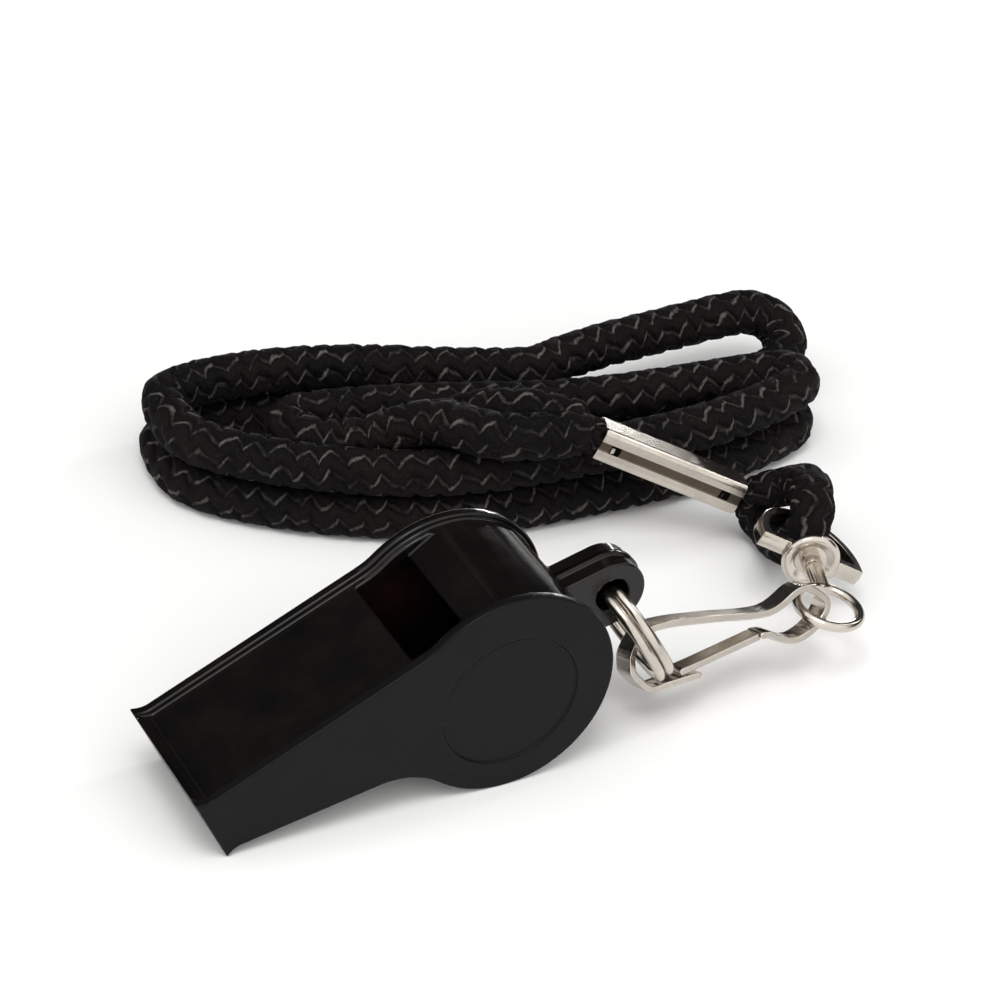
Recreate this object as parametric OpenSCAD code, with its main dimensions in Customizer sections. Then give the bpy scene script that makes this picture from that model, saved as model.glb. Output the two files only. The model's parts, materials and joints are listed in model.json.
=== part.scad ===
/* [Whistle body] */
// Outer radius of the drum's side plates
drum_r = 12.5; // [11:0.1:14]
// Width over both side plates
body_w = 17.8; // [16:0.1:22]
// Thickness of a side plate
plate_t = 1.2; // [1:0.1:1.6]
// How far the side plates stand proud of the wall between them
rim_h = 0.7; // [0.4:0.1:0.9]
// Thickness of the drum's wall
wall = 1.4; // [1.2:0.1:1.8]
// From the drum's axis to the lower edge of the mouth, along the floor
mouth_reach = 32.6; // [30:0.1:36]
// Height of the mouth's end
mouth_h = 8.2; // [7.6:0.1:9]
// Slope of the mouthpiece's top
top_slope = 26.5; // [25:0.5:28]
// Slope of the mouthpiece's underside
under_slope = 11.5; // [10:0.5:13]

/* [Windway and window] */
// Width of the windway
windway_w = 11.6; // [9:0.1:13]
// Height of the windway at the mouth
windway_in = 3.6; // [3:0.1:4]
// Height of the windway at the window
windway_out = 1.2; // [1:0.1:1.5]
// Thickness of the roof over the windway
roof_t = 0.8; // [0.7:0.1:1]
// From the mouth's end to the window
window_from = 27.35; // [26:0.05:28]
// Length of the window
window_l = 6.65; // [6:0.05:7]
// Width of the window
window_w = 13.6; // [11:0.1:14]
// Slope of the ramp against the mouthpiece's top
ramp_slope = 12; // [10:0.5:14]

/* [Lip, recess and lug] */
// How far the lips stand out at the mouth
lip_h = 0.9; // [0.5:0.1:1.1]
// Length of a lip along the mouthpiece
lip_l = 2; // [1:0.1:3]
// Radius of the round recess in each side
recess_r = 8.1; // [6:0.1:9]
// Depth of the round recess
recess_d = 0.25; // [0.1:0.05:0.4]
// Outer radius of the lug
lug_r = 4.1; // [3.6:0.1:4.6]
// Thickness of the lug
lug_t = 4.5; // [4:0.1:5]
// Radius of the lug's hole
lug_hole_r = 2; // [1.9:0.05:2.3]
// From the drum's axis to the lug's hole
lug_reach = 16.25; // [15.5:0.05:17]

/* [Pea] */
// Diameter of the pea
pea_d = 9.6; // [8.6:0.1:10]
// Gap between the pea and the chamber's wall
pea_gap = 0.3; // [0.2:0.05:0.5]

/* [Split ring] */
// Diameter of the split ring's wire
ring_wire = 1.2; // [1:0.05:1.3]
// Diameter of the split ring to the middle of its wire
ring_d = 13.1; // [12.6:0.1:13.6]

/* [Hook] */
// Length of the hook between the middles of its ends
hook_l = 26.4; // [26:0.1:27]
// Height of the hook between the middles of its arms
hook_h = 6.8; // [6.6:0.1:7]
// Width of the hook's strip
hook_w = 3; // [2.6:0.1:3.2]
// Thickness of the hook's strip
hook_t = 0.8; // [0.7:0.05:0.9]

/* [Swivel] */
// Diameter of the swivel ring's wire
swivel_wire = 1.2; // [1:0.05:1.3]
// Radius of the swivel ring to the middle of its wire
swivel_r = 3.8; // [3.6:0.1:4]
// Radius of the stem
stem_r = 1.2; // [1:0.05:1.4]
// Length of the stem from the ring to the cap
stem_l = 4.9; // [4.5:0.1:5.5]
// Radius of the cap
cap_r = 3.5; // [3.2:0.1:3.8]
// Height of the cap
cap_h = 1.8; // [1.7:0.1:2]
// Inner radius of the bail's bow
bow_r = 5.5; // [5.4:0.1:6]
// Thickness of the bail's bow
bow_t = 1.1; // [0.9:0.05:1.3]
// Radius of the bail's bar
bar_r = 0.9; // [0.8:0.05:0.95]

/* [Sleeve and cord] */
// Length of the crimp sleeve
sleeve_l = 19.6; // [18:0.1:22]
// Width of the crimp sleeve
sleeve_w = 6.2; // [6:0.1:6.4]
// Thickness of the sleeve's sheet
sleeve_t = 0.5; // [0.4:0.05:0.6]
// Diameter of the cord
cord_d = 5.2; // [5:0.1:5.2]

/* [Hidden] */
$fn = 96;
over = 0.5;          // overrun of every cut
fit = 0.05;          // running clearance
flush = 0.02;        // gap between two turns of wire

// The mouthpiece's own plane: along it and square to it, from the mouth's lower edge
drum_s = mouth_reach * cos(top_slope) + drum_r * sin(top_slope);
drum_n = drum_r * cos(top_slope) - mouth_reach * sin(top_slope);
fall = top_slope - under_slope;
side_y = body_w / 2 - plate_t;
core_r = drum_r - rim_h;
chamber_r = core_r - wall;
pea_r = pea_d / 2;
pea_orbit = chamber_r - pea_r - pea_gap;
top_blend = 8;
under_blend = 9;
lip_steps = 6;
edge_t = 0.2;
spigot_t = 0.9;
spigot_h = 1.2;
recess_drop = 0.9;
lug_rise = 16.5;
ridge_h = 0.25;
ridge_w = 0.7;
windway_ceiling = mouth_h - rim_h - roof_t;

// The split ring's place
lug_x = lug_reach * cos(lug_rise);
lug_z = drum_r + lug_reach * sin(lug_rise);
ring_yaw = -23;
ring_pitch = 57.7;
ring_step = ring_wire + flush;
ring_ramp = 24;
ring_gap = 4;
ring_turn = 150;
ring_sides = 12;
ramp_steps = 6;
lug_at = [lug_x, 0, lug_z];

// Middle of the measured object: from the mouth's upper lip to the split ring
function turned(v, a) = [v.x * cos(a) - v.y * sin(a), v.x * sin(a) + v.y * cos(a)];
function unit(v) = v / norm(v);
function ease(v) = let(c = min(1, max(0, v))) c * c * (3 - 2 * c);
function mix(a, b, k) = a + (b - a) * k;
lip_tip = turned([0, mouth_h + lip_h], top_slope) - [mouth_reach, 0];
ring_out = [cos(ring_pitch) * cos(ring_yaw), cos(ring_pitch) * sin(ring_yaw), -sin(ring_pitch)];
ring_roll = -20;
ring_tip_x = cos(ring_roll) * sin(ring_pitch) * cos(ring_yaw) + sin(ring_roll) * sin(ring_yaw);
ring_reach = lug_x + ring_out.x * ring_d / 2 + sqrt(1 - pow(ring_tip_x, 2)) * ring_d / 2
    + ring_tip_x * ring_step / 2 + ring_wire / 2;
middle_x = (lip_tip.x + ring_reach) / 2;

// The hook: where its eye rides on the swivel ring, and its outline from the nose's lower corner
eye_at = [41.9, -2.3, 8.2]; // [-10:0.1:60]
hook_tilt = [67, -6, 5];
hook_lift = -5.2;
eye_share = [0.918, 0.453];
hinge_share = [0.657, 0.328];
frame_shares = [hinge_share, [0.701, 0.291], [0.731, 0.198], [0.817, 0.074], [0.91, 0.158], [0.981, 0.365],
    [1, 0.542], [0.978, 0.682], [0.922, 0.867], [0.858, 0.891], [0.701, 0.682], [0.429, 0.863],
    [0.213, 1], [0.093, 0.985], [0.015, 0.705], [0, 0.483], [0.007, 0.321], [0.076, 0.019],
    [0.159, 0.003], [0.316, 0]];
gate_shares = [[0.243, 0.136], [0.336, 0.173], [0.5, 0.252]];
gate_w_share = 0.87;
curve_steps = 5;

// The swivel, from the underside of its cap, with the stem along its own Y
cap_at = [47.8, 5.9, 7.9];
swivel_yaw = -19.2;
bail_roll = 26;
loop_roll = 10;
head_r = 1.9;
head_h = 0.7;
floor_t = 0.45;
journal_l = 1.6;
shank_share = 0.46;
shank_l = stem_l + swivel_wire / 2;
wire_fn = 32;
bow_w = 2.6;
bow_round = (pow(bow_w / 2, 2) + pow(bow_t, 2)) / (2 * bow_t);
bar_y = cap_h + bow_r + bow_t;
foot_r = 1.5;
profile_share = [[0.9, 0], [1, 0.2], [1, 0.45], [0.8, 0.85], [0.55, 1]];

// The sleeve, from its end at the hank to its end at the bail
sleeve_at = [31.6, 29.8, 14.2];
sleeve_pitch = 24;
sleeve_yaw = -21;
sleeve_roll = 0;
sleeve_round = 1.2;
seam_w = 0.5;
notch_w = 1.1;
notch_in = 2;
notch_apart = 1.3;
strand_t = (sleeve_w - 2 * sleeve_t) / 2;
function along(v) = [v * cos(sleeve_pitch) * cos(sleeve_yaw), v * cos(sleeve_pitch) * sin(sleeve_yaw),
    -v * sin(sleeve_pitch)];
sleeve_end = sleeve_at + along(sleeve_l);

module bench() {
    translate([-middle_x, 0, 0]) children();
}

module slab(y0, y1) {
    translate([0, y1, 0]) rotate([90, 0, 0]) linear_extrude(y1 - y0) children();
}

module at_mouth() {
    translate([-mouth_reach, 0, 0]) rotate([0, -top_slope, 0]) children();
}

// Outline of the whistle's side, taken in from the side plate's
module outline(inset) {
    top = mouth_h - inset;
    foot = lip_h + inset;
    under = [drum_s * cos(fall) - (drum_n - foot) * sin(fall),
        drum_s * sin(fall) + (drum_n - foot) * cos(fall)];
    translate([0, drum_r]) circle(drum_r - inset);
    translate([-mouth_reach, 0]) rotate(top_slope) {
        polygon(concat(
            [for (i = [0 : lip_steps]) let(k = i / lip_steps)
                [lip_l * k, foot - tan(fall) * lip_l * k - foot * pow(1 - k, 2)]],
            [[drum_s, foot - tan(fall) * drum_s], [drum_s, top]],
            [for (i = [lip_steps : -1 : 0]) let(k = i / lip_steps)
                [lip_l * k, top + foot * pow(1 - k, 2)]]));
        translate([0, top]) mirror([0, 1]) blend([drum_s, top - drum_n], drum_r - inset, top_blend);
        translate([0, foot]) rotate(-fall) blend(under, drum_r - inset, under_blend);
    }
}

// Hollow corner between the line y = 0 and a round whose middle lies above it
module blend(middle, round_r, hollow_r) {
    reach = round_r + hollow_r;
    hollow = [middle.x - sqrt(pow(reach, 2) - pow(middle.y + hollow_r, 2)), -hollow_r];
    difference() {
        polygon([[hollow.x, 0], middle, middle + (hollow - middle) * round_r / reach]);
        translate(hollow) circle(hollow_r);
    }
}

module lug_outline(grown) {
    translate([lug_x, lug_z]) circle(lug_r + grown);
    translate([0, drum_r]) rotate(lug_rise) translate([0, -lug_r - grown])
        square([lug_reach, 2 * (lug_r + grown)]);
}

module windway() {
    at_mouth() slab(-windway_w / 2, windway_w / 2) polygon([[-over, windway_ceiling - windway_in],
        [window_from, windway_ceiling - windway_out], [window_from + over, windway_ceiling - windway_out],
        [window_from + over, windway_ceiling], [-over, windway_ceiling]]);
}

module window() {
    from = window_from;
    to = window_from + window_l;
    low = drum_n + sqrt(pow(chamber_r, 2) - pow(drum_s - from, 2)) - wall;
    edge = drum_n + sqrt(pow(chamber_r, 2) - pow(drum_s - to, 2)) + edge_t;
    peak = drum_n + drum_r + over;
    at_mouth() slab(-window_w / 2, window_w / 2) {
        translate([from, low]) square([window_l, peak - low]);
        polygon([[to - over, edge - over * tan(ramp_slope)],
            [to + window_l, edge + window_l * tan(ramp_slope)], [to + window_l, peak], [to - over, peak]]);
    }
}

module recess(y0, y1) {
    slab(y0, y1) translate([0, drum_r - recess_drop]) circle(recess_r);
}

module body_shell() {
    color("dimgray") bench() difference() {
        union() {
            slab(-side_y, side_y) outline(rim_h);
            slab(side_y, body_w / 2) outline(0);
            slab(-lug_t / 2, lug_t / 2) lug_outline(0);
            slab(-ridge_w / 2, ridge_w / 2) lug_outline(ridge_h);
        }
        slab(-side_y - over, side_y) translate([0, drum_r]) circle(chamber_r);
        windway();
        window();
        recess(body_w / 2 - recess_d, body_w / 2 + over);
        slab(-lug_t, lug_t) translate([lug_x, lug_z]) circle(lug_hole_r);
    }
}

module side_cover() {
    color("gray") bench() difference() {
        union() {
            slab(-body_w / 2, -side_y) outline(0);
            slab(-side_y - plate_t / 2, -side_y + spigot_h) translate([0, drum_r]) circle(chamber_r - fit);
        }
        slab(-side_y, -side_y + spigot_h + over) translate([0, drum_r]) circle(chamber_r - fit - spigot_t);
        recess(-body_w / 2 - over, -body_w / 2 + recess_d);
    }
}

module pea() {
    color("sienna") bench() translate([0, 0, drum_r - pea_orbit]) sphere(pea_r);
}

// One unbroken wire of nearly two turns, side by side, with a short ramp from the first to the second
module split_ring() {
    ramp = [for (i = [0 : ramp_steps]) let(k = i / ramp_steps, angle = -ring_ramp * (1 - k))
        [cos(angle) * ring_d / 2, sin(angle) * ring_d / 2, ring_step * (ease(k) - 1 / 2)]];
    color("silver") bench() translate(lug_at) rotate([ring_roll, ring_pitch, ring_yaw])
        translate([ring_d / 2, 0, 0]) rotate([0, 0, ring_turn]) {
            translate([0, 0, -ring_step / 2]) rotate_extrude(angle = 360 - ring_ramp)
                translate([ring_d / 2, 0]) circle(ring_wire / 2, $fn = 2 * ring_sides);
            translate([0, 0, ring_step / 2]) rotate_extrude(angle = 360 - ring_ramp - ring_gap)
                translate([ring_d / 2, 0]) circle(ring_wire / 2, $fn = 2 * ring_sides);
            tube(ramp, [for (p = ramp) [1, 1] * ring_wire / 2], [0, 0, 1], [0, 0, 1], ring_sides);
        }
}

// Tube along a path: half widths at each point, and the width's direction at either end
module tube(path, halves, side0, side1, sides) {
    n = len(path);
    ways = [for (i = [0 : n - 1]) unit(path[min(i + 1, n - 1)] - path[max(i - 1, 0)])];
    carried = [for (i = 0, s = unit(side0 - ways[0] * (side0 * ways[0])); i < n;
        i = i + 1, s = i < n ? unit(s - ways[i] * (s * ways[i])) : s) s];
    last = ways[n - 1];
    goal = unit(side1 - last * (side1 * last));
    swing = atan2(cross(carried[n - 1], goal) * last, carried[n - 1] * goal);
    points = [for (i = [0 : n - 1], j = [0 : sides - 1]) let(
        other = cross(ways[i], carried[i]), twist = swing * i / (n - 1),
        s = carried[i] * cos(twist) + other * sin(twist), u = cross(ways[i], s), a = 360 * j / sides)
        path[i] + s * (halves[i].x * cos(a)) + u * (halves[i].y * sin(a))];
    walls = [for (i = [0 : n - 2], j = [0 : sides - 1]) let(
        a = i * sides + j, b = i * sides + (j + 1) % sides)
        each [[a, a + sides, b], [b, a + sides, b + sides]]];
    polyhedron(points, concat(walls, [[for (j = [0 : sides - 1]) j],
        [for (j = [sides - 1 : -1 : 0]) (n - 1) * sides + j]]));
}

// Smooth curve through points, with steps between each two
function curve(p, steps) = concat([for (i = [0 : len(p) - 2], j = [0 : steps - 1]) let(
    k = j / steps, a = p[max(i - 1, 0)], b = p[i], c = p[i + 1], d = p[min(i + 2, len(p) - 1)])
    (b * 2 + (c - a) * k + (a * 2 - b * 5 + c * 4 - d) * k * k + (b * 3 - a - c * 3 + d) * k * k * k) / 2],
    [p[len(p) - 1]]);

// Flat strip of thickness t that follows a path in the plane, with its ends round or square
module ribbon(path, t, round0, round1) {
    n = len(path);
    ways = [for (i = [0 : n - 1]) unit(path[min(i + 1, n - 1)] - path[max(i - 1, 0)])];
    left = [for (i = [0 : n - 1]) path[i] + [-ways[i].y, ways[i].x] * t / 2];
    right = [for (i = [n - 1 : -1 : 0]) path[i] - [-ways[i].y, ways[i].x] * t / 2];
    cap0 = [for (a = [60 : -30 : -60]) path[0] + turned(-ways[0], a) * t / 2];
    cap1 = [for (a = [60 : -30 : -60]) path[n - 1] + turned(ways[n - 1], a) * t / 2];
    polygon(concat(left, round1 ? cap1 : [], right, round0 ? cap0 : []));
}

function on_hook(shares) = [for (p = shares) [p.x * hook_l, p.y * hook_h]];

module at_hook() {
    bench() translate(eye_at) rotate(hook_tilt) rotate([0, 0, hook_lift])
        translate([-eye_share.x * hook_l, -eye_share.y * hook_h, 0]) children();
}

module hook_frame() {
    path = on_hook(frame_shares);
    color("silver") at_hook() linear_extrude(hook_w, center = true)
        ribbon(curve(path, curve_steps), hook_t, true, true);
}

module hook_gate() {
    path = on_hook(gate_shares);
    hinge = on_hook([hinge_share])[0];
    tip = path[len(path) - 1];
    end = hinge + unit(tip - hinge) * (hook_t / 2 + fit);
    color("silver") at_hook() linear_extrude(hook_w * gate_w_share, center = true)
        ribbon(curve(concat(path, [end]), curve_steps), hook_t, true, false);
}

module at_cap() {
    bench() translate(cap_at) rotate([0, 0, swivel_yaw]) children();
}

module swivel_ring() {
    color("silver") at_cap() rotate([0, loop_roll, 0]) {
        translate([0, -stem_l - swivel_r, 0]) rotate_extrude() translate([swivel_r, 0])
            circle(swivel_wire / 2, $fn = wire_fn);
        for (side = [-1, 1])
            translate([side * swivel_wire * shank_share, -shank_l, 0]) rotate([-90, 0, 0])
                cylinder(h = shank_l - journal_l + over, r = swivel_wire / 2, $fn = wire_fn);
        translate([0, -journal_l, 0]) rotate([-90, 0, 0])
            cylinder(h = journal_l + floor_t + fit + over, r = stem_r);
        translate([0, floor_t + fit, 0]) rotate([-90, 0, 0]) cylinder(h = head_h, r = head_r);
    }
}

module swivel_cap() {
    color("silver") at_cap() rotate([-90, 0, 0]) difference() {
        rotate_extrude() polygon(concat([[0, 0]], [for (p = profile_share) [p.x * cap_r, p.y * cap_h]],
            [[0, cap_h]]));
        translate([0, 0, -over]) cylinder(h = floor_t + 2 * over, r = stem_r + fit);
        translate([0, 0, floor_t]) cylinder(h = head_h + 2 * fit, r = head_r + fit);
    }
}

module swivel_bail() {
    color("silver") at_cap() rotate([0, bail_roll, 0]) {
        translate([0, bar_y, 0]) {
            rotate([0, 0, 180]) rotate_extrude(angle = 180) intersection() {
                translate([bow_r + bow_t - bow_round, 0]) circle(bow_round);
                translate([bow_r, -bow_w / 2]) square([bow_t, bow_w]);
            }
            rotate([0, 90, 0]) cylinder(h = 2 * bow_r + bow_t, r = bar_r, center = true);
        }
        translate([0, cap_h, 0]) rotate([-90, 0, 0]) cylinder(h = bow_t, r = foot_r);
    }
}

module at_sleeve() {
    bench() translate(sleeve_at) rotate([sleeve_roll, sleeve_pitch, sleeve_yaw]) children();
}

module rounded_bar(w, r, x0, x1) {
    translate([x0, 0, 0]) rotate([90, 0, 90]) linear_extrude(x1 - x0) {
        square([w, w - 2 * r], center = true);
        square([w - 2 * r, w], center = true);
        for (y = [-1, 1], z = [-1, 1]) translate([y, z] * (w / 2 - r)) circle(r, $fn = wire_fn);
    }
}

module crimp_sleeve() {
    inner = sleeve_w - 2 * sleeve_t;
    color("silver") at_sleeve() difference() {
        rounded_bar(sleeve_w, sleeve_round, 0, sleeve_l);
        rounded_bar(inner, sleeve_round - sleeve_t, -over, sleeve_l + over);
        translate([-over, -seam_w / 2, 0]) cube([sleeve_l + 2 * over, seam_w, sleeve_w]);
        for (x = [notch_in, sleeve_l - notch_in], side = [-1, 1])
            translate([x - notch_w / 2, side * notch_apart - notch_w / 2, 0])
                cube([notch_w, notch_w, sleeve_w]);
    }
}

module crimped_cord() {
    color("black") at_sleeve()
        rounded_bar(sleeve_w - 2 * sleeve_t - 2 * fit, sleeve_round - sleeve_t, 0, sleeve_l);
}

// Points of the bight between the sleeve and the bail's bar, upper strand first
bight_way = along(1);
bight_side = [0.41, -0.15, 0.9];
bight_upper = [[53.7, 20.5, 8], [53.7, 17.2, 10.3], [52, 13.4, 11], [50.8, 11.3, 9.9]];
bight_turn = [49.5, 10.83, 7.9];
bight_lower = [[48.9, 12.1, 5.8], [49.1, 14.4, 4.9], [50.5, 17.6, 2.9], [51.4, 20.5, 2.08]];
bight_sides = 10;
bight_steps = 2;
bight_out = 1.6;
bight_thin_share = 0.74;
bight_ease = 4;

module lanyard_bight() {
    root = strand_t / 2;
    side = unit(bight_side - bight_way * (bight_side * bight_way));
    start = sleeve_end + side * root;
    stop = sleeve_end - side * root;
    out = along(bight_out);
    way = concat([start + out], bight_upper, [bight_turn], bight_lower, [stop + out]);
    path = concat([start], curve(way, bight_steps), [stop]);
    n = len(path);
    full = cord_d / 2;
    halves = [for (i = [0 : n - 1]) let(k = ease((min(i, n - 1 - i) - 1) / bight_ease))
        [mix(root, full * bight_thin_share, k), full]];
    color("black") bench() tube(path, halves, side, -side, bight_sides);
}

// The hank: a doubled cord, laid from the sleeve round the left end, back along the far side and round
// again outside, to the closed end at the right. tau counts the loops.
hank_step = 6.1;
hank_left = -10.6;
hank_right = 66.5;
hank_waist = 34;
hank_soft = 12;
hank_z = 5.7;
hank_left_in = 12.3;
hank_back = [49.5, 69];
hank_front = [34.4, 46.2];
hank_bow = [3, 3.8];
hank_drawn = [7.4, 10.2];
hank_near_in = 6.4;
hank_square_share = 0.56;
hank_spread = 2.8;
hank_lean_end = 58;
hank_sag = 1.3;
hank_dip = 0.4;
hank_bend_share = 0.6;
hank_end = [67, 52.4, 6.4];
hank_loops = 1.74;
loop_rings = 24;
loop_sides = 6;
lead = 3.2;
exit_l = 3;

function hank_inner(tau) = tau < 0.5 ? 1 : 1 - ease((tau - 0.5) / 0.5);

function hank_middle(tau) = let(
    angle = 270 - 360 * tau,
    inner = hank_inner(tau),
    left = hank_left + hank_left_in * inner,
    x = (left + hank_right) / 2 + (hank_right - left) / 2 * cos(angle),
    k = (hank_waist - x + norm([hank_waist - x, hank_soft])) / 2 / (hank_waist - hank_left),
    full = min(1, k),
    right = max(0, (x - hank_waist) / (hank_right - hank_waist)),
    back = mix(hank_back[0], hank_back[1], full) + hank_bow[0] * sin(180 * full),
    front = mix(hank_front[0], hank_front[1], full) - hank_bow[1] * sin(180 * full) - sin(180 * right),
    drawn = mix(hank_drawn[0], hank_drawn[1], ease(k * 1.5)),
    near = front + hank_near_in * inner,
    far = tau > 0.5 && tau < 1 ? back - drawn : back - drawn * inner)
    [x, (near + far) / 2 + (far - near) / 2 * sign(sin(angle)) * pow(abs(sin(angle)), hank_square_share),
        hank_z];

function hank_centre(tau) = let(
    c = hank_middle(tau), start = sleeve_at - along(lead), c0 = hank_middle(0),
    level = 1 - ease(tau / 0.1), height = 1 - ease((tau - 0.045) / 0.11),
    p = [c.x + (start.x - c0.x) * level, mix(c.y, start.y, level),
        mix(c.z, start.z - hank_dip * ease(tau / 0.04), height)],
    k = (tau - 1.5) / (hank_loops - 1.5),
    a = hank_middle(1.5),
    line = a + (hank_end - a) * k + [0, -hank_sag * sin(180 * k), 0])
    tau > 1.5 ? mix(p, line, ease(k * 2.5)) : p;

function hank_apart(tau) = mix(strand_t, hank_step, ease(tau / 0.028))
    + hank_spread * ease((tau - 1.56) / 0.14);

function hank_lean(tau) = hank_lean_end * ease((tau - 1.52) / 0.16) - 90 * (1 - ease((tau - 0.05) / 0.09));

function hank_way(tau) = let(t = unit(hank_centre(tau + 0.004) - hank_centre(max(tau - 0.004, 0))))
    tau < 0.02 ? unit(mix(-along(1), t, ease(tau / 0.02))) : t;

// From the lower strand to the upper one
function hank_across(tau) = let(
    t = hank_way(tau),
    flat = unit(cross([0, 0, 1], tau < 0.3 ? -t : t * (tau > 1.25 ? sign(t.x) : 1))),
    up0 = cross(t, flat), up = up0 * sign(up0.z))
    (flat * sin(hank_lean(tau)) + up * cos(hank_lean(tau))) * hank_apart(tau);

hank_count = round(hank_loops * loop_rings);
hank_taus = [for (i = [0 : hank_count]) hank_loops * i / hank_count];
hank_lower = [for (t = hank_taus) hank_centre(t) - hank_across(t) / 2];
hank_upper = [for (i = [hank_count : -1 : 0]) let(t = hank_taus[i]) hank_centre(t) + hank_across(t) / 2];
end_across = hank_across(hank_loops);
end_way = unit(hank_centre(hank_loops) - hank_centre(hank_loops - 0.02));
hank_bend = [for (a = [30 : 30 : 150])
    hank_centre(hank_loops) + end_way * (hank_bend_share * norm(end_across) * sin(a))
        - end_across / 2 * cos(a)];
root_flat0 = unit(cross([0, 0, 1], along(1)));
root_flat = root_flat0 * sign(root_flat0 * hank_across(0));
root_a = sleeve_at - root_flat * strand_t / 2;
root_b = sleeve_at + root_flat * strand_t / 2;
hank_path = concat([root_a, root_a - along(exit_l)], hank_lower, hank_bend, hank_upper,
    [root_b - along(exit_l), root_b]);
hank_n = len(hank_path);
hank_ease = 4;

// Least gap of the hank to itself: between points of its axis that lie further apart along it than
// one bend, without the two squeezed roots in front of the sleeve
hank_bend_l = 14;
hank_root_l = 16;
hank_dense = curve(hank_path, 3);
hank_run = [for (i = 0, r = 0; i < len(hank_dense); i = i + 1,
    r = i < len(hank_dense) ? r + norm(hank_dense[i] - hank_dense[i - 1]) : r) r];
hank_length = hank_run[len(hank_run) - 1];

function hank_least() = min([for (i = [0 : len(hank_run) - 2], j = [i + 1 : len(hank_run) - 1])
    if (hank_run[j] - hank_run[i] > hank_bend_l
        && (hank_run[i] > hank_root_l || hank_length - hank_run[j] > hank_root_l))
        norm(hank_dense[i] - hank_dense[j])]) - cord_d;

module lanyard_hank() {
    echo("Least gap of the hank to itself", hank_least(), "its length", hank_length);
    halves = [for (i = [0 : hank_n - 1]) let(k = ease((min(i, hank_n - 1 - i) - 1) / hank_ease))
        [mix(strand_t / 2, cord_d / 2, k), cord_d / 2]];
    color("black") bench() tube(hank_path, halves, root_flat, root_flat, loop_sides);
}

body_shell();
side_cover();
pea();
split_ring();
hook_frame();
hook_gate();
swivel_ring();
swivel_cap();
swivel_bail();
crimp_sleeve();
crimped_cord();
lanyard_bight();
lanyard_hank();
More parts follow.
